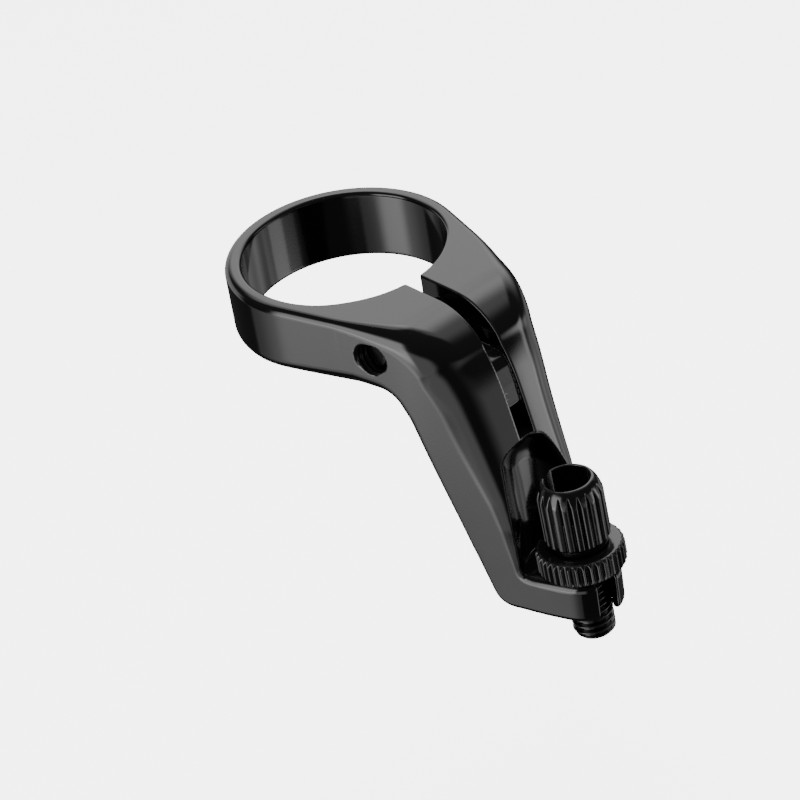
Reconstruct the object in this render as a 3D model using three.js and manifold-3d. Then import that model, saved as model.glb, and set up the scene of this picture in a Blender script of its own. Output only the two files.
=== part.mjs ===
// Clamp-on front cable hanger: a split ring for a 28.6 mm steerer, a swept arm with a forked tab,
// a slotted barrel adjuster with its knurled lock ring, and the pinch bolt with its washer.
// Millimetres, +Z up along the steerer, +X forwards to the adjuster, origin at the ring's centre.
import * as THREE from 'three';
import { mergeVertices } from 'three/addons/utils/BufferGeometryUtils.js';
import Module from 'manifold-3d';

const wasm = await Module();
wasm.setup();

// ---- driving dimensions -------------------------------------------------------------------------
const GAP = 0.3;               // clearance between neighbouring pieces
const BORE_R = 14.3;           // 28.6 mm steerer
const RING_R = 16.7;           // outside of the clamp ring
const HALF_H = 5.2;            // half the ring's height
const SLOT_W = 2.5;            // split slot
const FLANK_LEAVES = 14.6;     // degrees between the arm's flank and X where it leaves the ring
const FLANK = [                // half width of the arm along X
  [10.5, 14.4], [17, 12.6], [24, 10.65], [28, 9.1], [31, 8.05], [35, 6.95], [39, 6.0],
];

const ADJ_TILT = -4 * Math.PI / 180;   // the adjuster's top leans towards the ring
const ADJ_X = 40.4;            // centre of the barrel's top rim
const ADJ_Z = -16.5;
const HEAD_H = 10.15;          // barrel head, from its rim to its shoulder
const RING_TOP = 10.44;        // lock ring, measured down the adjuster's axis from the rim
const LOCK_H = 3.5;
const LOCK_R = 6.15;
const LOCK_TEETH = 36;
const SEAT = RING_TOP + LOCK_H + GAP;  // top face of the tab
const TAB_T = 6.6;             // thickness of the tab
const STEM_END = 25.0;         // lower end of the thread
const STEM_R = 2.98;           // M6 thread, as a plain cylinder
const HEAD_R = 4.55;           // crest radius of the flutes
const FLUTES = 20;
const SOCKET_R = 3.15;         // socket for the cable housing's end cap
const SOCKET_D = 9.2;
const CABLE_R = 1.25;
const CABLE_SLOT = 2.0;        // slot that lets the cable in sideways
const CABLE_SLOT_TURN = 195 * Math.PI / 180;
const FORK_W = 3.1;            // slot through the front of the tab
const FORK_TURN = -5 * Math.PI / 180;
const NOSE_R = 5.0;
const SCOOP_R = 8.3;           // relief around the adjuster

const BOLT_X = 18.25;          // pinch bolt, parallel to Y just outside the bore
const BOLT_Z = 0.4;
const BOLT_R = 2.1;            // M5 thread, as a plain cylinder
const BOLT_HEAD_R = 3.45;
const BOLT_HEAD_H = 3.5;       // low socket head
const HEX_AF = 3.0;
const HEX_DEPTH = 2.0;
const SEAT_Y = 6.8;            // floor of the counterbore
const WASHER_T = 0.8;
const WASHER_R = 3.45;
const CBORE_R = 3.75;
const BOLT_TIP_Y = -11.0;

// ---- solids ------------------------------------------------------------------------------------
function solid(geometry) {
  let g = geometry.clone();
  g.deleteAttribute('normal');
  g.deleteAttribute('uv');
  g = mergeVertices(g, 1e-4);
  return new wasm.Manifold(new wasm.Mesh({
    numProp: 3,
    vertProperties: new Float32Array(g.attributes.position.array),
    triVerts: new Uint32Array(g.index.array),
  }));
}

function geometryOf(manifold) {
  const m = manifold.getMesh();
  const g = new THREE.BufferGeometry();
  g.setAttribute('position', new THREE.BufferAttribute(new Float32Array(m.vertProperties), 3));
  g.setIndex(new THREE.BufferAttribute(new Uint32Array(m.triVerts), 1));
  g.computeVertexNormals();
  return g;
}

function outline(points) {
  return new THREE.Shape(points.map(([x, y]) => new THREE.Vector2(x, y)));
}

// A profile in X and Z, extruded across Y from y0 to y1.
function acrossY(points, y0, y1) {
  const g = new THREE.ExtrudeGeometry(outline(points), { depth: y1 - y0, bevelEnabled: false, curveSegments: 24 });
  g.rotateX(Math.PI / 2);      // the shape's second axis becomes Z, its depth runs to -Y
  g.translate(0, y1, 0);
  return solid(g);
}

// A profile in X and Y, extruded up Z from z0 to z1.
function upZ(shape, z0, z1) {
  const g = new THREE.ExtrudeGeometry(shape, { depth: z1 - z0, bevelEnabled: false, curveSegments: 32 });
  g.translate(0, 0, z0);
  return solid(g);
}

// A closed profile of radius and height, turned about Z. It may be listed in either direction.
function turned(profile, segments) {
  const points = profile.map(([r, z]) => new THREE.Vector2(r, z));
  if (THREE.ShapeUtils.area(points) < 0) points.reverse();
  const g = new THREE.LatheGeometry(points, segments);
  g.rotateX(Math.PI / 2);      // the lathe's axis becomes Z
  return solid(g);
}

function rod(radius, z0, z1, segments = 32) {
  return turned([[0, z0], [radius, z0], [radius, z1], [0, z1]], segments);
}

function box(x0, x1, y0, y1, z0, z1) {
  const g = new THREE.BoxGeometry(x1 - x0, y1 - y0, z1 - z0);
  g.translate((x0 + x1) / 2, (y0 + y1) / 2, (z0 + z1) / 2);
  return solid(g);
}

function arc(cx, cy, r, a0, a1, steps) {
  const pts = [];
  for (let i = 0; i <= steps; i++) {
    const a = (a0 + (a1 - a0) * i / steps) * Math.PI / 180;
    pts.push([cx + r * Math.cos(a), cy + r * Math.sin(a)]);
  }
  return pts;
}

function inAdjusterFrame(manifold) {
  return manifold.rotate([0, ADJ_TILT * 180 / Math.PI, 0]).translate([ADJ_X, 0, ADJ_Z]);
}

function acrossBolt(manifold) {   // turns a piece built up Z so that its axis runs along +Y
  return manifold.rotate([-90, 0, 0]).translate([BOLT_X, 0, BOLT_Z]);
}

// ---- hanger body -----------------------------------------------------------------------------------
const axisDir = [Math.sin(ADJ_TILT), Math.cos(ADJ_TILT)];
const onAxis = (s, out = 0) => [
  ADJ_X - axisDir[0] * s + axisDir[1] * out,
  ADJ_Z - axisDir[1] * s - axisDir[0] * out,
];

// Plan: the flanks leave the ring on a tangent, draw in at the bend and meet the tab's round nose.
const nose = onAxis(SEAT + TAB_T / 2);
const ringTurn = 90 - FLANK_LEAVES;
const ringEnd = [RING_R * Math.cos(ringTurn * Math.PI / 180), RING_R * Math.sin(ringTurn * Math.PI / 180)];
const flank = new THREE.SplineCurve([
  ringEnd, ...FLANK, [nose[0] + NOSE_R * Math.cos(76 * Math.PI / 180), NOSE_R * Math.sin(76 * Math.PI / 180)],
].map(([x, y]) => new THREE.Vector2(x, y))).getPoints(28).slice(1, -1).map((p) => [p.x, p.y]);
const plan = outline([
  ...arc(0, 0, RING_R, ringTurn, 360 - ringTurn, 56),
  ...flank.map(([x, y]) => [x, -y]),
  ...arc(nose[0], 0, NOSE_R, -76, 76, 18),
  ...flank.slice().reverse(),
]);

// Side: flat top, two blended bends, a straight front, then the tab, its nose and the back of the arm.
const BEND1 = { x: 21.0, z: -4.5, r: 9.7 };
const BEND2 = { x: 10.76, z: -11.67, r: 22.0 };
const FRONT_TURN = 15;         // degrees the front still leans at the end of the second bend
const straightStart = [
  BEND2.x + BEND2.r * Math.cos(FRONT_TURN * Math.PI / 180),
  BEND2.z + BEND2.r * Math.sin(FRONT_TURN * Math.PI / 180),
];
const side = [
  [-RING_R - 2, HALF_H],
  ...arc(BEND1.x, BEND1.z, BEND1.r, 90, 35, 8),
  ...arc(BEND2.x, BEND2.z, BEND2.r, 33, FRONT_TURN, 5),
  [35.6, straightStart[1] - (35.6 - straightStart[0]) / Math.tan(FRONT_TURN * Math.PI / 180)],
  [36.3, -24.0],
  onAxis(SEAT, -4.9),
  onAxis(SEAT, 9),
  onAxis(SEAT + TAB_T, 9),
  ...arc(33.85, -34.45, 3.1, 268, 200, 5),
  [22.1, -8.6],
  ...arc(18.5, -8.1, 2.9, 20, 90, 4),
  [-RING_R - 2, -HALF_H],
];

const slotSide = [
  [BORE_R - 2.4, 8], [BORE_R - 2.4, -8], [22.0, -8], [22.0, -1.3], [28.1, -1.2], [29.5, -1.75],
  [30.3, -2.9], [31.1, -5.2], [31.85, -8.2], [30.4, -9.2], [30.4, -12.5], [38, -12.5], [38, 8],
];

// The relief is a round pocket along the adjuster's axis that starts below the end of the slot.
const scoopTop = 12.6;
let hanger = upZ(plan, -60, 20)
  .intersect(acrossY(side, -30, 30))
  .subtract(rod(BORE_R, -20, 20, 72))
  .subtract(acrossY(slotSide, -SLOT_W / 2, SLOT_W / 2));

const scoopFloor = acrossY([
  [60, -scoopTop + 1.0], [33.2, -scoopTop], [31.6, -17.0], [31.6, -60], [60, -60],
], -20, 20);
const aboveTab = inAdjusterFrame(box(-20, 20, -20, 20, -SEAT, 20));
hanger = hanger.subtract(
  inAdjusterFrame(rod(SCOOP_R, -60, 20, 64)).intersect(scoopFloor).intersect(aboveTab));
hanger = hanger
  .subtract(inAdjusterFrame(rod(STEM_R + GAP, -60, 0, 32)))
  .subtract(inAdjusterFrame(box(0, 20, -FORK_W / 2, FORK_W / 2, -40, -SEAT + 1)
    .rotate([0, 0, FORK_TURN * 180 / Math.PI])))
  .subtract(acrossBolt(rod(BOLT_R + GAP, -30, SEAT_Y + 1, 32)))
  .subtract(acrossBolt(rod(CBORE_R, SEAT_Y, 30, 40)));

// ---- barrel adjuster, built with its rim at z = 0 and its thread below ------------------------------
const flutePoints = [];
for (let i = 0; i < FLUTES; i++) {
  for (const [frac, r] of [[0, HEAD_R], [0.3, HEAD_R - 0.05], [0.5, HEAD_R - 0.45], [0.7, HEAD_R - 0.05]]) {
    const a = (i + frac) / FLUTES * 2 * Math.PI;
    flutePoints.push([r * Math.cos(a), r * Math.sin(a)]);
  }
}
const headShape = turned([
  [0, 0], [3.55, 0], [4.05, -0.35], [4.4, -1.0], [HEAD_R + 0.02, -1.8], [HEAD_R + 0.02, -9.0],
  [4.1, -9.3], [4.1, -HEAD_H], [STEM_R, -HEAD_H], [STEM_R, -STEM_END + 0.6],
  [STEM_R - 0.6, -STEM_END], [0, -STEM_END],
], 40);
const fluted = upZ(outline(flutePoints), -9.1, -1.3).add(rod(HEAD_R + 0.2, -1.4, 1, 40))
  .add(rod(HEAD_R + 0.2, -40, -9.0, 40));
let barrel = headShape.intersect(fluted)
  .subtract(rod(SOCKET_R, -SOCKET_D, 1, 32))
  .subtract(rod(CABLE_R, -40, 0, 16))
  .subtract(box(0, 10, -CABLE_SLOT / 2, CABLE_SLOT / 2, -40, 5)
    .rotate([0, 0, CABLE_SLOT_TURN * 180 / Math.PI]));

// ---- lock ring, in the same frame -------------------------------------------------------------------
const toothPoints = [];
for (let i = 0; i < LOCK_TEETH; i++) {
  for (const [frac, r] of [[0, LOCK_R], [0.5, LOCK_R - 0.4]]) {
    const a = (i + frac) / LOCK_TEETH * 2 * Math.PI;
    toothPoints.push([r * Math.cos(a), r * Math.sin(a)]);
  }
}
const lockZ0 = -(RING_TOP + LOCK_H);
const lockRing = upZ(outline(toothPoints), lockZ0, -RING_TOP)
  .intersect(turned([[0, lockZ0], [LOCK_R - 0.5, lockZ0], [LOCK_R + 0.05, lockZ0 + 0.55],
    [LOCK_R + 0.05, -RING_TOP - 0.55], [LOCK_R - 0.5, -RING_TOP], [0, -RING_TOP]], 72))
  .subtract(rod(STEM_R + GAP, -40, 0, 32))
  .subtract(box(0, 10, -CABLE_SLOT / 2, CABLE_SLOT / 2, -40, 5)
    .rotate([0, 0, CABLE_SLOT_TURN * 180 / Math.PI]));

// ---- pinch bolt and washer, built up Z and then laid along +Y ----------------------------------------
const headBase = SEAT_Y + GAP + WASHER_T + GAP;
const hexR = HEX_AF / Math.sqrt(3);
const bolt = turned([
  [0, BOLT_TIP_Y], [BOLT_R - 0.5, BOLT_TIP_Y], [BOLT_R, BOLT_TIP_Y + 0.6], [BOLT_R, headBase],
  [BOLT_HEAD_R, headBase], [BOLT_HEAD_R, headBase + BOLT_HEAD_H - 0.5],
  [BOLT_HEAD_R - 0.5, headBase + BOLT_HEAD_H], [0, headBase + BOLT_HEAD_H],
], 32).subtract(rod(hexR, headBase + BOLT_HEAD_H - HEX_DEPTH, 30, 6));
const washer = rod(WASHER_R, SEAT_Y + GAP, SEAT_Y + GAP + WASHER_T, 36)
  .subtract(rod(BOLT_R + GAP, 0, 30, 28));

// ---- scene graph ------------------------------------------------------------------------------------
const glossBlack = new THREE.MeshStandardMaterial({ color: 0x0b0b0c, roughness: 0.12, metalness: 0.6 });
const blackBarrel = new THREE.MeshStandardMaterial({ color: 0x0d0d0e, roughness: 0.2, metalness: 0.6 });
const blackRing = new THREE.MeshStandardMaterial({ color: 0x0e0e0f, roughness: 0.24, metalness: 0.6 });
const boltSteel = new THREE.MeshStandardMaterial({ color: 0x111112, roughness: 0.35, metalness: 0.8 });
const washerSteel = new THREE.MeshStandardMaterial({ color: 0x151516, roughness: 0.4, metalness: 0.8 });

function piece(name, manifold, material) {
  const mesh = new THREE.Mesh(geometryOf(manifold), material);
  mesh.name = name;
  return mesh;
}

const group = new THREE.Group();
group.add(piece('hanger_body', hanger, glossBlack));

const adjuster = new THREE.Group();
adjuster.position.set(ADJ_X, 0, ADJ_Z);
adjuster.rotation.y = ADJ_TILT;
adjuster.add(piece('barrel_adjuster', barrel, blackBarrel));
adjuster.add(piece('lock_ring', lockRing, blackRing));
group.add(adjuster);

const clamping = new THREE.Group();
clamping.position.set(BOLT_X, 0, BOLT_Z);
clamping.rotation.x = -Math.PI / 2;
clamping.add(piece('pinch_bolt', bolt, boltSteel));
clamping.add(piece('pinch_washer', washer, washerSteel));
group.add(clamping);

export default group;
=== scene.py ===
"""Looks of the clamp-on brake cable hanger. Shapes are worked out in millimetres and built in metres."""
import math

import bpy
import numpy as np
from mathutils import Matrix, Vector, kdtree


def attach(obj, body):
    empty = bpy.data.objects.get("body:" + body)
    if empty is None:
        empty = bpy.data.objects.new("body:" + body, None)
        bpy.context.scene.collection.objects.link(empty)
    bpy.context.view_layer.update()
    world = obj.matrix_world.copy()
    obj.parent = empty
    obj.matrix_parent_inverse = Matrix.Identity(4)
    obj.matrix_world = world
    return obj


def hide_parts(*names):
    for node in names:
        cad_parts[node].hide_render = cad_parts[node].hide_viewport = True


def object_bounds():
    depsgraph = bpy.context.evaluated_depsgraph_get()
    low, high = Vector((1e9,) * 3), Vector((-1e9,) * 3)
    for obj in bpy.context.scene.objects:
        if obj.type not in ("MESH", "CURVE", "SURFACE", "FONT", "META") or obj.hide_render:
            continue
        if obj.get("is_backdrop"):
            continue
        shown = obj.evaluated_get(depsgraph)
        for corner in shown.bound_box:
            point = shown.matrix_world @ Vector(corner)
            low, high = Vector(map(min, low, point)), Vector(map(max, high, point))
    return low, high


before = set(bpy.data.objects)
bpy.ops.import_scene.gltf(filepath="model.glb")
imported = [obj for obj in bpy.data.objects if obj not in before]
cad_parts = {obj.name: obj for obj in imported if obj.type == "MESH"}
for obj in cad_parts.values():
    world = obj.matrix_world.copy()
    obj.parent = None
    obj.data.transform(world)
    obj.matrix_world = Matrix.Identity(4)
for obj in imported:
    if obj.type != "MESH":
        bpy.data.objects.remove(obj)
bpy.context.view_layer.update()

MM = 0.001

# ---- dimensions in millimetres, as in the CAD model ------------------------------------------
BORE_R = 14.3
RING_R = 16.7
HALF_H = 5.2                    # half the ring's height
SLOT_W = 2.5
FLANK_LEAVES = 14.6             # degrees between the arm's flank and X where it leaves the ring
FLANK = [(10.5, 14.4), (17, 12.6), (24, 10.65), (28, 9.1), (31, 8.05), (35, 6.95), (39, 6.0)]
ADJ_TILT = math.radians(-4)
ADJ_X, ADJ_Z = 40.4, -16.5      # centre of the barrel's rim
HEAD_H = 10.15
RING_TOP = 10.44                # lock ring, down the adjuster's axis from the rim
LOCK_H = 3.5
LOCK_R = 6.15
LOCK_TEETH = 36
SEAT = RING_TOP + LOCK_H + 0.3  # top face of the tab
TAB_T = 6.6
STEM_END, STEM_R = 25.0, 2.98
HEAD_R = 4.57
FLUTES = 20
SOCKET_R, SOCKET_D = 3.15, 9.2
CABLE_R = 1.25
CABLE_SLOT = 2.0
CABLE_SLOT_TURN = math.radians(195)
FORK_W = 3.1
FORK_TURN = math.radians(-5)
NOSE_R = 5.0
SCOOP_R = 8.3
BOLT_X, BOLT_Z = 18.25, 0.4
BOLT_R = 2.1
BOLT_TIP = -11.0
SEAT_Y, CBORE_R = 6.8, 3.75     # the counterbore's floor and radius
HEAD_BASE, BOLT_HEAD_R, BOLT_HEAD_H = 8.2, 3.45, 3.5
HEX_HALF, HEX_DEPTH = 1.5, 2.0
WASHER_R, WASHER_MIDDLE, WASHER_HALF_T = 3.45, 7.5, 0.4
PLAIN_HOLE_R = 2.4              # clearance hole for the pinch bolt
M6_PITCH, M5_PITCH = 1.0, 0.8
# Multiply the distances of fluted, toothed and threaded walls, which would change too fast.
FLUTE_EASE, TOOTH_EASE, STEM_EASE, BOLT_EASE = 0.85, 0.8, 0.7, 0.75


# ---- signed distances, negative inside ----------------------------------------------------------
def both(a, b, r):
    """The part of space in both a and b, with the edge between them rounded to radius r."""
    return np.minimum(np.maximum(a, b), -r) + np.hypot(np.maximum(a + r, 0), np.maximum(b + r, 0))


def ramp(x, x0, x1):
    """0 up to x0 and 1 from x1 on, smooth between them."""
    t = np.clip((x - x0) / (x1 - x0), 0, 1)
    return t * t * (3 - 2 * t)


def thread(axial, angle, pitch):
    """0 at the root and 1 at the crest of a right-hand thread."""
    turn = (axial / pitch - angle / (2 * math.pi)) % 1.0
    return ramp(1 - 2 * np.abs(turn - 0.5), 0.08, 0.9)


def arc(cx, cy, r, a0, a1, steps=48):
    return [(cx + r * math.cos(math.radians(a)), cy + r * math.sin(math.radians(a)))
            for a in np.linspace(a0, a1, steps + 1)]


def spline(points, steps):
    """Catmull-Rom curve through points, which are the ones that the CAD model's flank goes through."""
    p = np.array([points[0], *points, points[-1]], float)
    out = []
    for i in range(1, len(p) - 2):
        for t in np.arange(steps) / steps:
            m0, m1 = (p[i + 1] - p[i - 1]) / 2, (p[i + 2] - p[i]) / 2
            d = p[i] - p[i + 1]
            out.append(((2 * d + m0 + m1) * t + (-3 * d - 2 * m0 - m1)) * t * t + m0 * t + p[i])
    return [tuple(q) for q in out] + [tuple(p[-1])]


def on_axis(s, out=0.0):
    """A point of the adjuster's plane: s down its axis from the rim, out away from the ring."""
    sn, cs = math.sin(ADJ_TILT), math.cos(ADJ_TILT)
    return (ADJ_X - sn * s + cs * out, ADJ_Z - cs * s - sn * out)


class Curve:
    """Distance to a closed curve in a plane, kept on a grid and read between its nodes by cubics."""

    def __init__(self, points, axes, soften=0.5, spacing=0.06):
        p = np.array(points, float)
        p = p[np.hypot(*(p - np.roll(p, 1, 0)).T) > 1e-6]
        closed = np.vstack([p, p[:1]])
        length = np.concatenate([[0], np.cumsum(np.hypot(*np.diff(closed, axis=0).T))])
        n = int(length[-1] / spacing)
        at = np.arange(n) * length[-1] / n
        p = np.stack([np.interp(at, length, closed[:, i]) for i in (0, 1)], 1)
        if soften:
            k = np.fft.rfftfreq(n, length[-1] / n)[:, None]
            p = np.fft.irfft(np.fft.rfft(p, axis=0) * np.exp(-2 * (math.pi * k * soften) ** 2), n, 0)
        area = np.sum(p[:, 0] * np.roll(p[:, 1], -1) - np.roll(p[:, 0], -1) * p[:, 1])
        if area < 0:
            p = p[::-1].copy()
        tree = kdtree.KDTree(n)
        for i, (u, v) in enumerate(p):
            tree.insert((u, v, 0), i)
        tree.balance()
        (self.u0, self.v0), self.step = (axes[0][0], axes[1][0]), axes[0][1] - axes[0][0]
        uv = np.stack(np.meshgrid(*axes, indexing="ij"), -1).reshape(-1, 2)
        near = np.array([tree.find((u, v, 0))[1] for u, v in uv])
        best = np.full(len(uv), 1e9)
        for other in (1, -1):
            a, b = p[near], p[(near + other) % n]
            d = b - a
            t = np.clip(np.sum((uv - a) * d, 1) / np.sum(d * d, 1), 0, 1)
            best = np.minimum(best, np.hypot(*(uv - a - d * t[:, None]).T))
        along = p[(near + 1) % n] - p[near - 1]
        rel = uv - p[near]
        side = np.sign(along[:, 1] * rel[:, 0] - along[:, 0] * rel[:, 1])
        self.grid = (best * side).reshape(len(axes[0]), len(axes[1]))

    def __call__(self, u, v):
        def weights(t):
            return (((-0.5 * t + 1) * t - 0.5) * t, (1.5 * t - 2.5) * t * t + 1,
                    ((-1.5 * t + 2) * t + 0.5) * t, (0.5 * t - 0.5) * t * t)
        fu, fv = (u - self.u0) / self.step, (v - self.v0) / self.step
        iu = np.clip(np.floor(fu).astype(int), 1, self.grid.shape[0] - 3)
        iv = np.clip(np.floor(fv).astype(int), 1, self.grid.shape[1] - 3)
        wu, wv = weights(fu - iu), weights(fv - iv)
        total = 0.0
        for a in range(4):
            row = sum(wv[b] * self.grid[iu + a - 1, iv + b - 1] for b in range(4))
            total = total + wu[a] * row
        return total


# ---- meshing ---------------------------------------------------------------------------------------
def axis_nodes(lo, hi, step):
    return np.arange(lo, hi + step, step)


def slope(f, p, e):
    """Value and gradient of f at points p, from four samples around each."""
    value, grad = 0.0, np.zeros_like(p)
    for k in ((1, -1, -1), (-1, -1, 1), (-1, 1, -1), (1, 1, 1)):
        k = np.array(k, float)
        s = f(*(p + e * k).T)
        value = value + s / 4
        grad += s[:, None] * k / (4 * e)
    return value, grad


def net(grid_f, nodes):
    """Quads of the zero surface: one point in each cell that it crosses, joined round each crossed edge."""
    xs, ys, zs = nodes
    val = np.concatenate([grid_f(xs[i:i + 24, None, None], ys[None, :, None], zs[None, None, :])
                          .astype(np.float32) for i in range(0, len(xs), 24)], 0)
    inside = val < 0
    count = sum(inside[a:a - 1 or None, b:b - 1 or None, c:c - 1 or None].astype(np.int8)
                for a in (0, 1) for b in (0, 1) for c in (0, 1))
    cell = np.argwhere((count > 0) & (count < 8))
    index = np.full(count.shape, -1, np.int32)
    index[tuple(cell.T)] = np.arange(len(cell))
    corners = [(a, b, c) for a in (0, 1) for b in (0, 1) for c in (0, 1)]
    v = {k: val[tuple((cell + k).T)] for k in corners}
    total, hits = np.zeros((len(cell), 3)), np.zeros(len(cell))
    for k in corners:
        for ax in range(3):
            if k[ax]:
                continue
            far = tuple(1 if i == ax else k[i] for i in range(3))
            cross = (v[k] < 0) != (v[far] < 0)
            t = np.where(cross, v[k] / np.where(cross, v[k] - v[far], 1), 0)
            point = np.tile(np.array(k, float), (len(cell), 1))
            point[:, ax] = t
            total += point * cross[:, None]
            hits += cross
    step = xs[1] - xs[0]
    points = np.array([xs[0], ys[0], zs[0]]) + (cell + total / hits[:, None]) * step
    quads = []
    for ax in range(3):
        a = np.moveaxis(inside, ax, 0)
        first = np.moveaxis(a[:-1] != a[1:], 0, ax)
        at = np.argwhere(first)
        u, w = [i for i in range(3) if i != ax]
        at = at[(at[:, u] > 0) & (at[:, w] > 0)]
        ring = []
        for du, dw in ((1, 1), (0, 1), (0, 0), (1, 0)):
            c = at.copy()
            c[:, u] -= du
            c[:, w] -= dw
            ring.append(index[tuple(c.T)])
        ring = np.stack(ring, 1)
        flip = inside[tuple(at.T)] != (ax == 1)
        ring[~flip] = ring[~flip][:, ::-1]
        quads.append(ring)
    return points, np.concatenate(quads)


def mesh_from(name, points, faces):
    mesh = bpy.data.meshes.new(name)
    mesh.vertices.add(len(points))
    mesh.vertices.foreach_set("co", points.astype(np.float32).ravel())
    n = faces.shape[1]
    mesh.loops.add(faces.size)
    mesh.loops.foreach_set("vertex_index", faces.astype(np.int32).ravel())
    mesh.polygons.add(len(faces))
    mesh.polygons.foreach_set("loop_start", np.arange(0, faces.size, n, dtype=np.int32))
    mesh.update(calc_edges=True)
    mesh.validate()
    return mesh


SAMPLE, NORMAL_SAMPLE = 0.02, 0.04   # how far round a point the slope is taken
EDGE_REACH = 0.1                # how far round a point its bend is measured
FLATTEST = 0.2                  # least squared slope that a step towards the surface divides by


def to_surface(f, p):
    """The gradient of f at points p, and how far along it its surface is."""
    value, grad = slope(f, p, SAMPLE)
    return grad, (value / np.maximum(np.sum(grad * grad, 1), FLATTEST))[:, None]


def build(name, f, low, high, step, keep, place, grid_f=None):
    """A piece from its distance: netted, drawn onto the surface, thinned to the share keep, placed."""
    nodes = [axis_nodes(low[i] - 2 * step, high[i] + 2 * step, step) for i in range(3)]
    points, quads = net(grid_f or f, nodes)
    for _ in range(2):
        grad, far = to_surface(f, points)
        points -= grad * far.clip(-step, step)
    piece = bpy.data.objects.new(name, mesh_from(name, points, quads))
    bpy.context.scene.collection.objects.link(piece)
    thin = piece.modifiers.new("thin", "DECIMATE")
    thin.ratio = keep
    mesh = bpy.data.meshes.new_from_object(piece.evaluated_get(bpy.context.evaluated_depsgraph_get()))
    piece.modifiers.clear()
    piece.data = mesh
    mesh.name = name
    co = np.empty(len(mesh.vertices) * 3, np.float32)
    mesh.vertices.foreach_get("co", co)
    p = co.reshape(-1, 3).astype(float)
    grad, far = to_surface(f, p)
    p -= (grad * far).clip(-step / 2, step / 2)
    grad = slope(f, p, NORMAL_SAMPLE)[1]
    normal = grad / np.maximum(np.linalg.norm(grad, axis=1), 1e-9)[:, None]
    e = EDGE_REACH
    around = sum(f(*(p + e * s * np.eye(3)[i]).T) for i in range(3) for s in (1, -1))
    bend = (around - 6 * f(*p.T)) / (e * e)
    turn, shift = np.array(place.to_3x3()), np.array(place.translation)
    mesh.vertices.foreach_set("co", ((p @ turn.T + shift) * MM).astype(np.float32).ravel())
    mesh.shade_smooth()
    mesh.attributes.new("edge", "FLOAT", "POINT").data.foreach_set("value", bend.astype(np.float32))
    mesh.update()
    mesh.normals_split_custom_set_from_vertices((normal @ turn.T).astype(np.float32).tolist())
    return piece


# ---- hanger body -----------------------------------------------------------------------------
STEP = 0.22
BODY_LOW, BODY_HIGH = (-17.0, -17.0, -38.4), (47.5, 17.0, 5.4)
body_nodes = [axis_nodes(BODY_LOW[i] - 2 * STEP, BODY_HIGH[i] + 2 * STEP, STEP) for i in range(3)]

NOSE_TURN = 76                  # degrees that the nose's arc reaches on each side
nose_x = on_axis(SEAT + TAB_T / 2)[0]
nose = arc(nose_x, 0, NOSE_R, -NOSE_TURN, NOSE_TURN)
ring_turn = 90 - FLANK_LEAVES
ring = arc(0, 0, RING_R, ring_turn, 360 - ring_turn, 400)
flank = spline([ring[0], *FLANK, nose[-1]], 12)[1:-1]
plan = Curve([*ring, *[(x, -y) for x, y in flank], *nose, *flank[::-1]], body_nodes[:2], 0.9)
side = Curve([(-RING_R - 2, HALF_H), *arc(21, -4.5, 9.7, 90, 35), *arc(10.76, -11.67, 22, 33, 15),
              (35.6, -19.37), (36.3, -24.0), on_axis(SEAT, -4.9), on_axis(SEAT, 9),
              on_axis(SEAT + TAB_T, 9), *arc(33.85, -34.45, 3.1, 268, 200), (22.1, -8.6),
              *arc(18.5, -8.1, 2.9, 20, 90), (-RING_R - 2, -HALF_H)],
             (body_nodes[0], body_nodes[2]), 0.45)
slot = Curve([(BORE_R - 2.4, 8), (BORE_R - 2.4, -8), (22, -8), (22, -1.3), (28.1, -1.2),
              (29.5, -1.75), (30.3, -2.9), (31.1, -5.2), (31.85, -8.2), (30.4, -9.2),
              (30.4, -12.5), (38, -12.5), (38, 8)], (body_nodes[0], body_nodes[2]), 0.12)

# Roundings of the forging. Pairs are the two places, in millimetres, that a change runs between.
FRONT_Z = (-34.0, -31.0, -24.0, -19.4, -6.0, 0.3, 5.2)
FRONT_X = (60, 37.2, 36.3, 35.6, 32.0, 29.2, 24.0)   # the arm's front, taken far away at the tab
BACK_TO_FRONT = (-8.0, -4.5)    # from the front
BOTTOM_TO_TOP = (-4.0, 3.0)
TOP_EDGE, TOP_EDGE_GROWS = 1.2, 2.6
GROWS_ALONG, GROWS_UP = (12.0, 28.0), (-36.0, -8.0)
LOWER_X, LOWER_EDGE = (0, 8, 15, 22, 29), (1.7, 2.3, 3.0, 1.9, 1.2)
CROWN = 0.011                   # fall of the front from the middle, for each millimetre squared
CROWN_STARTS, CROWN_ENDS = (-32.0, -24.0), (-3.0, 4.0)
BORE_EDGE, BORE_EDGE_SHRINKS, SHRINKS_ALONG = 0.6, 0.35, (8.0, 12.0)
SLOT_EDGE = 0.32


def blank(x, y, z, plan_d, side_d):
    """Plan and side profile together, with their edges rounded and the front crowned."""
    ahead = ramp(x - np.interp(z, FRONT_Z, FRONT_X), *BACK_TO_FRONT)
    upper = 1 - (1 - ahead) * (1 - ramp(z, *BOTTOM_TO_TOP))
    upper_edge = TOP_EDGE + TOP_EDGE_GROWS * ramp(x, *GROWS_ALONG) * ramp(z, *GROWS_UP)
    lower_edge = np.interp(x, LOWER_X, LOWER_EDGE)
    crown = CROWN * y * y * ahead * ramp(z, *CROWN_STARTS) * (1 - ramp(z, *CROWN_ENDS))
    return both(plan_d, side_d + crown, lower_edge + (upper_edge - lower_edge) * upper)


CEILING_Z, BACK_X, DEEPEST_X = -12.4, 33.2, 31.6
CEILING_WAY, BACK_WAY = (-0.0373, 0.9993), (-0.940, 0.342)   # x and z, out of the pocket
CEILING_TO_BACK, SEAT_CORNER, ROOF_CORNER = 1.0, 0.6, 0.8    # radii inside the pocket
DROP_LEFT, DROP_RIGHT = 0.05, 0.35   # fall of the ceiling, for each millimetre squared from y = 0


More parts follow.
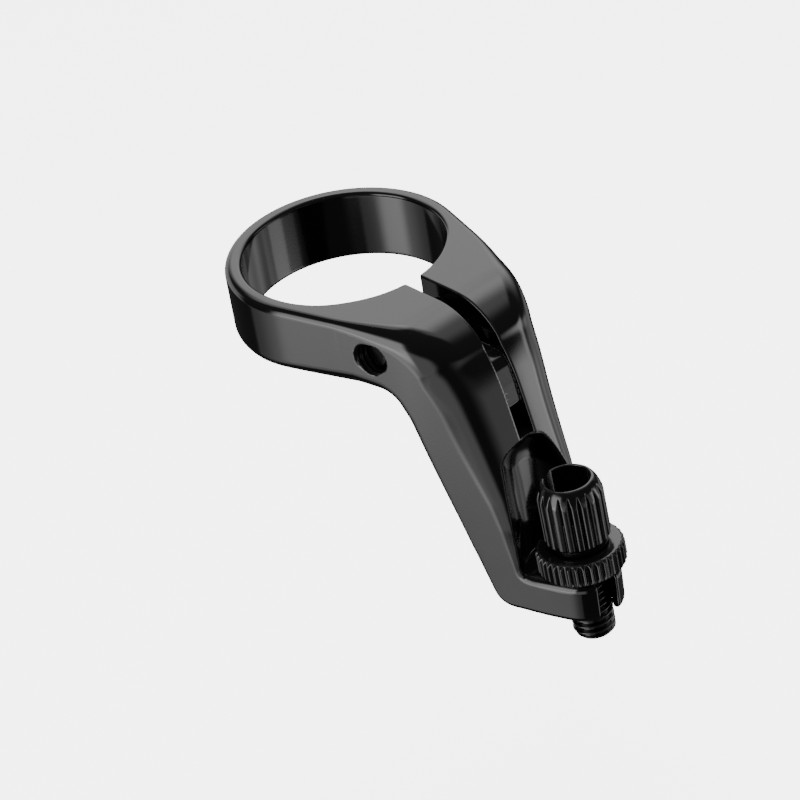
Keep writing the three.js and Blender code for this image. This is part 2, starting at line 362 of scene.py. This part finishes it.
def relief(x, y, z, out, down):
    """The round pocket behind the adjuster, under an arched ceiling and above the tab."""
    drop = np.where(y < 0, DROP_LEFT, DROP_RIGHT) * y * y
    above, before = z + drop - CEILING_Z, x - BACK_X
    ceiling, back = (above * up + before * along for along, up in (CEILING_WAY, BACK_WAY))
    roof = np.maximum(both(ceiling, back, CEILING_TO_BACK), DEEPEST_X - x)
    return both(both(np.hypot(out, y) - SCOOP_R, down - SEAT, SEAT_CORNER), roof, ROOF_CORNER)


TAB_HOLE_R, TAB_HOLE_THREAD = 3.04, 0.3     # least radius and thread depth
TAB_HOLE_FROM = 8.0             # down the adjuster's axis


def tab_hole(y, out, down):
    """The threaded hole of the tab, which starts above the tab's top face."""
    radius = TAB_HOLE_R + TAB_HOLE_THREAD * thread(down, -np.arctan2(y, out), M6_PITCH)
    return np.maximum(np.hypot(out, y) - radius, TAB_HOLE_FROM - down)


def fork_slot(y, out, down):
    ct, st = math.cos(FORK_TURN), math.sin(FORK_TURN)
    along, across = out * ct + y * st, y * ct - out * st
    return np.maximum(np.maximum(np.abs(across) - FORK_W / 2, -along), SEAT - 1 - down)


RELIEF_EDGE, RELIEF_SOFTENS = 0.3, 1.4
SOFTENS_ACROSS, SOFTENS_UP = (0.5, 3.0), (14.0, 11.0)   # along y and down the adjuster's axis
BOLT_HOLE_R, BOLT_HOLE_THREAD = 2.2, 0.2    # threaded half: least radius and thread depth
TAB_HOLE_EDGE, FORK_EDGE, BOLT_HOLE_EDGE, CBORE_CORNER, CBORE_EDGE = 0.12, 0.35, 0.2, 0.25, 0.3


def hanger(x, y, z, plan_d, side_d, slot_d):
    f = blank(x, y, z, plan_d, side_d)
    bore_edge = BORE_EDGE - BORE_EDGE_SHRINKS * ramp(x, *SHRINKS_ALONG)
    f = both(f, BORE_R - np.hypot(x, y), bore_edge)
    f = both(f, -np.maximum(np.abs(y) - SLOT_W / 2, slot_d), SLOT_EDGE)
    sn, cs = math.sin(ADJ_TILT), math.cos(ADJ_TILT)
    dx, dz = x - ADJ_X, z - ADJ_Z
    out, down = cs * dx - sn * dz, -sn * dx - cs * dz
    # crisp on the left and under the lock ring, soft on the right
    relief_edge = RELIEF_EDGE + RELIEF_SOFTENS * ramp(y, *SOFTENS_ACROSS) * ramp(down, *SOFTENS_UP)
    f = both(f, -relief(x, y, z, out, down), relief_edge)
    f = both(f, -tab_hole(y, out, down), TAB_HOLE_EDGE)
    f = both(f, -fork_slot(y, out, down), FORK_EDGE)
    # pinch bolt: threaded half, plain half, counterbore
    off = np.hypot(x - BOLT_X, z - BOLT_Z)
    angle = np.arctan2(BOLT_Z - z, x - BOLT_X)
    tapped = BOLT_HOLE_R + BOLT_HOLE_THREAD * thread(y, angle, M5_PITCH)
    f = both(f, np.where(y < 0, tapped, PLAIN_HOLE_R) - off, BOLT_HOLE_EDGE)
    return both(f, -both(off - CBORE_R, SEAT_Y - y, CBORE_CORNER), CBORE_EDGE)


def hanger_at(x, y, z):
    return hanger(x, y, z, plan(x, y), side(x, z), slot(x, z))


def hanger_grid(x, y, z):
    """The same on a block of body_nodes, where the outlines' distances are already on the grid."""
    i = int(round((x.flat[0] - body_nodes[0][0]) / STEP))
    rows = slice(i, i + x.size)
    return hanger(x, y, z, plan.grid[rows, :, None], side.grid[rows, None, :],
                  slot.grid[rows, None, :])


# ---- adjuster, its rim at z = 0 --------------------------------------------------------------
def line(rho, z, r0, z0, r1, z1):
    """Distance from the line through two points of a profile, positive on the left of its way."""
    dr, dz = r1 - r0, z1 - z0
    n = math.hypot(dr, dz)
    return ((z - z0) * dr - (rho - r0) * dz) / n


def cable_slot(x, y):
    cs, sn = math.cos(CABLE_SLOT_TURN), math.sin(CABLE_SLOT_TURN)
    return np.maximum(np.abs(y * cs - x * sn) - CABLE_SLOT / 2, -(x * cs + y * sn))


RIM = [(3.55, 0), (4.05, -0.35), (4.4, -1.0), (HEAD_R, -1.8)]   # radius and height
RIM_BLENDS = (0.15, 0.5, 0.8)
FLUTE_DEPTH, FLUTE_WIDTH, CREST_DIP = 0.5, 0.17, 0.05
FLUTES_END, NECK_R, NECK_TOP = -9.0, 4.1, -9.35
STEM_ROOT, STEM_TIP, STEM_TOP = 2.42, 0.7, -9.5


def barrel_at(x, y, z):
    rho, angle = np.hypot(x, y), np.arctan2(y, x)
    frac = (angle * FLUTES / (2 * math.pi)) % 1.0
    groove = np.exp(-((frac - 0.5) / FLUTE_WIDTH) ** 2)
    crest = HEAD_R - CREST_DIP * (1 - np.cos(2 * math.pi * frac)) / 2 - FLUTE_DEPTH * groove
    wall = (rho - crest) * FLUTE_EASE
    crown = z
    for (r0, z0), (r1, z1), blend in zip(RIM, RIM[1:], RIM_BLENDS):
        crown = both(crown, line(rho, z, r0, z0, r1, z1), blend)
    head = both(both(wall, crown, 0.12), line(rho, z, HEAD_R, FLUTES_END, NECK_R, NECK_TOP), 0.12)
    head = np.maximum(head, NECK_TOP - z)
    neck = both(rho - NECK_R, np.maximum(-HEAD_H - z, z + 5), 0.15)
    stem = (rho - (STEM_ROOT + (STEM_R - STEM_ROOT) * thread(z, angle, M6_PITCH))) * STEM_EASE
    tip = line(rho, z, STEM_R, -STEM_END + STEM_TIP, STEM_R - STEM_TIP, -STEM_END)
    stem = both(stem, tip, 0.1)
    stem = np.maximum(both(stem, -STEM_END - z, 0.1), z - STEM_TOP)
    f = np.minimum(np.minimum(head, neck), stem)
    f = both(f, -both(rho - SOCKET_R, -SOCKET_D - z, 0.3), 0.2)
    f = both(f, CABLE_R - rho, 0.15)
    return both(f, -cable_slot(x, y), 0.12)


TOOTH_DEPTH, LOCK_CHAMFER = 0.42, 0.55
VALLEY_FLAT = 1.25              # over 1, which cuts the valleys' floors flat


def lock_ring_at(x, y, z):
    rho, angle = np.hypot(x, y), np.arctan2(y, x)
    frac = (angle * LOCK_TEETH / (2 * math.pi)) % 1.0
    valley = np.minimum(1, VALLEY_FLAT * (0.5 - 0.5 * np.cos(2 * math.pi * frac)))
    wall = (rho - (LOCK_R - TOOTH_DEPTH * valley)) * TOOTH_EASE
    top, low = -RING_TOP, -(RING_TOP + LOCK_H)
    f = both(wall, line(rho, z, LOCK_R - 0.5, top, LOCK_R + 0.05, top - LOCK_CHAMFER), 0.1)
    f = both(f, -line(rho, z, LOCK_R - 0.5, low, LOCK_R + 0.05, low + LOCK_CHAMFER), 0.1)
    f = both(both(f, z - top, 0.15), low - z, 0.15)
    f = both(f, STEM_R + 0.3 - rho, 0.2)
    return both(f, -cable_slot(x, y), 0.12)


# ---- pinch bolt and washer, built up Z and laid along +Y -------------------------------------
BOLT_THREAD_DEPTH, TIP_CHAMFER = 0.38, 0.6
RIB_HEIGHT, RIBS = 0.05, 36


def bolt_at(x, y, z):
    rho, angle = np.hypot(x, y), np.arctan2(y, x)
    root = BOLT_R - BOLT_THREAD_DEPTH
    shank = (rho - (root + BOLT_THREAD_DEPTH * thread(z, angle, M5_PITCH))) * BOLT_EASE
    tip = line(rho, z, BOLT_R, BOLT_TIP + TIP_CHAMFER, BOLT_R - TIP_CHAMFER, BOLT_TIP)
    shank = both(shank, tip, 0.1)
    shank = np.maximum(both(shank, BOLT_TIP - z, 0.1), z - HEAD_BASE - 0.5)
    top = HEAD_BASE + BOLT_HEAD_H
    ribs = RIB_HEIGHT * (1 + np.cos(RIBS * angle)) * ramp(z, HEAD_BASE + 0.3, HEAD_BASE + 0.7)
    ribs = ribs * (1 - ramp(z, top - 1.1, top - 0.7))
    head = both(rho - BOLT_HEAD_R + ribs, z - top, 0.55)
    head = both(head, HEAD_BASE - z, 0.15)
    hexagon = np.maximum.reduce([np.abs(x * math.cos(a) + y * math.sin(a)) - HEX_HALF
                                 for a in (math.pi / 6, math.pi / 2, 5 * math.pi / 6)])
    head = both(head, -np.maximum(hexagon, top - HEX_DEPTH - z), 0.12)
    return np.minimum(head, shank)


def washer_at(x, y, z):
    rho = np.hypot(x, y)
    disc = both(rho - WASHER_R, np.abs(z - WASHER_MIDDLE) - WASHER_HALF_T, 0.14)
    return both(disc, PLAIN_HOLE_R - rho, 0.1)


# ---- materials -------------------------------------------------------------------------------
WEAR_SCALE, CLOUD_SCALE, PEEL_SCALE = 900, 120, 2600   # noise cells for each metre
PEEL_DEPTH = 0.00002
WEAR_ROUGHENS = 0.12
WORN_GAIN, WORN_ADD = 2.2, 0.012        # from the finish's colour to a worn edge's
CLOUD_LEAST, CLOUD_MOST = 0.75, 1.3     # shares of the roughness


def gloss(name, colour, rough, peel, edge_from, edge_to, metallic, ior):
    """A dark finish: uneven gloss, a faint skin on the surface, and lighter, duller convex edges."""
    m = bpy.data.materials.new(name)
    m.use_nodes = True
    nodes, links = m.node_tree.nodes, m.node_tree.links
    shader = nodes["Principled BSDF"]
    shader.inputs["Metallic"].default_value = metallic
    shader.inputs["IOR"].default_value = ior
    where = nodes.new("ShaderNodeTexCoord")

    def noise(scale, detail):
        n = nodes.new("ShaderNodeTexNoise")
        n.inputs["Scale"].default_value = scale
        n.inputs["Detail"].default_value = detail
        links.new(where.outputs["Object"], n.inputs["Vector"])
        return n.outputs["Fac"]

    def span(value, a0, a1, b0, b1):
        n = nodes.new("ShaderNodeMapRange")
        for key, v in zip(("From Min", "From Max", "To Min", "To Max"), (a0, a1, b0, b1)):
            n.inputs[key].default_value = v
        links.new(value, n.inputs["Value"])
        return n.outputs["Result"]

    def maths(op, a, b):
        n = nodes.new("ShaderNodeMath")
        n.operation = op
        for i, v in enumerate((a, b)):
            if isinstance(v, (int, float)):
                n.inputs[i].default_value = v
            else:
                links.new(v, n.inputs[i])
        return n.outputs[0]

    edge = nodes.new("ShaderNodeAttribute")
    edge.attribute_name = "edge"
    worn = maths("MULTIPLY", span(edge.outputs["Fac"], edge_from, edge_to, 0, 1),
                 span(noise(WEAR_SCALE, 3), 0.35, 0.65, 0.15, 1.0))
    mix = nodes.new("ShaderNodeMix")
    mix.data_type = "RGBA"      # its colours are inputs 6 and 7 and output 2
    mix.inputs[6].default_value = (*colour, 1)
    mix.inputs[7].default_value = (*[min(1, c * WORN_GAIN + WORN_ADD) for c in colour], 1)
    links.new(worn, mix.inputs[0])
    links.new(mix.outputs[2], shader.inputs["Base Color"])
    cloud = span(noise(CLOUD_SCALE, 4), 0.3, 0.7, rough * CLOUD_LEAST, rough * CLOUD_MOST)
    duller = maths("MULTIPLY", worn, WEAR_ROUGHENS)
    links.new(maths("ADD", cloud, duller), shader.inputs["Roughness"])
    bump = nodes.new("ShaderNodeBump")
    bump.inputs["Strength"].default_value = peel
    bump.inputs["Distance"].default_value = PEEL_DEPTH
    links.new(noise(PEEL_SCALE, 2), bump.inputs["Height"])
    links.new(bump.outputs["Normal"], shader.inputs["Normal"])
    return m


BLACK = (0.0025, 0.0025, 0.0027)
BOLT_OXIDE, WASHER_OXIDE = (0.03, 0.03, 0.032), (0.05, 0.05, 0.052)
materials = {   # piece: material, colour, roughness, skin, bend from and to, metallic, IOR
    "hanger_casting": gloss("gloss_black", BLACK, 0.10, 0.10, 1.5, 5.0, 0.0, 1.9),
    "adjuster_barrel": gloss("barrel_black", BLACK, 0.14, 0.15, 2.0, 7.0, 0.0, 1.9),
    "adjuster_lock_ring": gloss("lock_ring_black", BLACK, 0.17, 0.15, 2.0, 7.0, 0.0, 1.9),
    "clamp_bolt": gloss("bolt_black_oxide", BOLT_OXIDE, 0.32, 0.3, 2.0, 7.0, 1.0, 1.5),
    "clamp_washer": gloss("washer_black_oxide", WASHER_OXIDE, 0.36, 0.4, 2.0, 7.0, 1.0, 1.5),
}

# ---- pieces ----------------------------------------------------------------------------------
adjuster_place = Matrix.Translation((ADJ_X, 0, ADJ_Z)) @ Matrix.Rotation(ADJ_TILT, 4, "Y")
bolt_place = Matrix.Translation((BOLT_X, 0, BOLT_Z)) @ Matrix.Rotation(-math.pi / 2, 4, "X")
PIECES = [  # piece, distance, its box, grid step, share of triangles kept, place, body, node, slot
    ("hanger_casting", hanger_at, BODY_LOW, BODY_HIGH, STEP, 0.45, Matrix.Identity(4),
     "hanger", "hanger_body", "gloss_black_aluminium"),
    ("adjuster_barrel", barrel_at, (-4.7, -4.7, -25.2), (4.7, 4.7, 0.2), 0.1, 0.4,
     adjuster_place, "barrel", "barrel_adjuster", "black_barrel"),
    ("adjuster_lock_ring", lock_ring_at, (-6.2, -6.2, -14.1), (6.2, 6.2, -10.3), 0.1, 0.4,
     adjuster_place, "lock_ring", "lock_ring", "black_lock_ring"),
    ("clamp_bolt", bolt_at, (-4, -4, -11.2), (4, 4, 11.9), 0.11, 0.4, bolt_place,
     "bolt", "pinch_bolt", "black_steel_bolt"),
    ("clamp_washer", washer_at, (-4, -4, 7.0), (4, 4, 8.0), 0.11, 0.4, bolt_place,
     "washer", "pinch_washer", "black_steel_washer"),
]

for name, f, low, high, step, keep, place, body, node, slot_name in PIECES:
    grid_f = hanger_grid if name == "hanger_casting" else None
    piece = build(name, f, low, high, step, keep, place, grid_f)
    piece.data.materials.clear()
    piece.data.materials.append(materials[name])
    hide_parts(node)
    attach(piece, body)
    print(name, len(piece.data.polygons), "faces")

# ---- floor, lights, camera -------------------------------------------------------------------
low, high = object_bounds()
centre = (low + high) / 2
FLOOR_SIZE, FLOOR_DROP = 3, 0.05
PAPER_GREY, PAPER_ROUGH, PAPER_LIGHT = 0.9, 0.8, 3.8
bpy.ops.mesh.primitive_plane_add(size=FLOOR_SIZE, location=(0, 0, low.z - FLOOR_DROP))
floor = bpy.context.object
floor.name = "floor"
paper = bpy.data.materials.new("pale_paper")
paper.use_nodes = True
sheet = paper.node_tree.nodes["Principled BSDF"].inputs
sheet["Base Color"].default_value = (PAPER_GREY, PAPER_GREY, PAPER_GREY, 1)
sheet["Roughness"].default_value = PAPER_ROUGH
sheet["Emission Color"].default_value = (1, 1, 1, 1)
sheet["Emission Strength"].default_value = PAPER_LIGHT
floor.data.materials.append(paper)
floor.visible_glossy = False
floor.visible_diffuse = False
floor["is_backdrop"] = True

world = bpy.data.worlds.new("studio")
bpy.context.scene.world = world
world.use_nodes = True
wn, wl = world.node_tree.nodes, world.node_tree.links


def calc(op, *values):
    """One Math node on numbers or on the results of other nodes."""
    n = wn.new("ShaderNodeMath")
    n.operation = op
    for i, v in enumerate(values):
        if isinstance(v, (int, float)):
            n.inputs[i].default_value = v
        else:
            wl.new(v, n.inputs[i])
    return n.outputs[0]


def fade(value, inner, outer):
    """1 where value is under inner, 0 where it is over outer."""
    n = wn.new("ShaderNodeMapRange")
    n.interpolation_type = "SMOOTHSTEP"
    for key, v in zip(("From Min", "From Max", "To Min", "To Max"), (inner, outer, 1, 0)):
        n.inputs[key].default_value = v
    wl.new(value, n.inputs["Value"])
    return n.outputs["Result"]


direction = wn.new("ShaderNodeSeparateXYZ")
wl.new(wn.new("ShaderNodeTexCoord").outputs["Generated"], direction.inputs[0])
turn = calc("ARCTAN2", direction.outputs["Y"], direction.outputs["X"])
lift = calc("ARCSINE", direction.outputs["Z"])
# The studio that the gloss mirrors. Each panel: turn from +X, half width and soft edge in degrees,
# then lift, half height and soft edge, then its light.
PANELS = [
    (-94, 12, 9, 6, 16, 15, 2.0),       # large box at the left, what spills past it, and its foot
    (-100, 8, 14, -20, 8, 10, 1.1),
    (-66, 12, 12, -10, 12, 10, 0.6),
    (-106, 6, 34, -36, 8, 12, 0.5),     # the light of that box on the table
    (-106, 40, 5, -36, 8, 10, 0.2),
    (128, 14, 38, 36, 12, 28, 1.4),     # large box behind
    (168, 22, 18, 58, 8, 14, 0.8),
    (90, 25, 34, 62, 6, 16, 0.5),
    (48, 8, 10, -8, 8, 14, 1.4),        # strip in front, its glow, and the table under it
    (24, 12, 42, -8, 6, 14, 0.4),
    (38, 22, 4, -39, 6, 5, 0.4),
    (33, 3, 26, -39, 6, 5, 0.45),
    (40, 8, 4, -27, 5, 6, 0.6),
    (68, 8, 14, -20, 8, 10, 0.4),
    (180, 22, 14, -2, 12, 12, 0.7),     # low boxes at the back and at the right
    (92, 12, 14, -24, 6, 10, 0.4),
]
DIM, BACKDROP = 0.035, 3.4      # between the panels, and as the camera sees it
total = DIM
for at, half, soft, up, half_up, soft_up, light in PANELS:
    away = calc("SUBTRACT", turn, math.radians(at))
    away = calc("ABSOLUTE", calc("WRAP", away, math.pi, -math.pi))
    over = calc("ABSOLUTE", calc("SUBTRACT", lift, math.radians(up)))
    box = calc("MULTIPLY", fade(away, math.radians(half), math.radians(half + soft)),
               fade(over, math.radians(half_up), math.radians(half_up + soft_up)))
    total = calc("MULTIPLY_ADD", box, light, total)
backdrop = wn.new("ShaderNodeMix")
wl.new(wn.new("ShaderNodeLightPath").outputs["Is Camera Ray"], backdrop.inputs[0])
wl.new(total, backdrop.inputs[2])
backdrop.inputs[3].default_value = BACKDROP
wl.new(backdrop.outputs[0], wn["Background"].inputs["Strength"])
wn["Background"].inputs["Color"].default_value = (1, 1, 1, 1)

OVERHEAD_SIZE, OVERHEAD_WATTS, OVERHEAD_HEIGHT = 0.6, 12.0, 0.7
top_light = bpy.data.lights.new("overhead", "AREA")
top_light.size, top_light.energy = OVERHEAD_SIZE, OVERHEAD_WATTS
lamp = bpy.data.objects.new("overhead", top_light)
bpy.context.scene.collection.objects.link(lamp)
lamp.location = centre + Vector((0, 0, OVERHEAD_HEIGHT))
lamp.visible_glossy = False

CAMERA_TURN, CAMERA_LIFT, CAMERA_ROLL = (math.radians(a) for a in (36.85, 33.8, -9.72))
CAMERA_DISTANCE = 0.4155
LENS, SENSOR, NEAREST, FARTHEST = 135, 36, 0.01, 20
AIM = Vector((10.42, -2.59, -14.78)) * MM
towards = Vector((-math.cos(CAMERA_TURN) * math.cos(CAMERA_LIFT),
                  math.sin(CAMERA_TURN) * math.cos(CAMERA_LIFT), -math.sin(CAMERA_LIFT)))
lens = bpy.data.cameras.new("camera")
lens.lens, lens.sensor_width = LENS, SENSOR
lens.clip_start, lens.clip_end = NEAREST, FARTHEST
camera = bpy.data.objects.new("camera", lens)
bpy.context.scene.collection.objects.link(camera)
camera.location = AIM - towards * CAMERA_DISTANCE
camera.rotation_mode = "QUATERNION"
camera.rotation_quaternion = (towards.to_track_quat("-Z", "Y").to_matrix()
                              @ Matrix.Rotation(CAMERA_ROLL, 3, "Z")).to_quaternion()
bpy.context.scene.camera = camera

low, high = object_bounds()
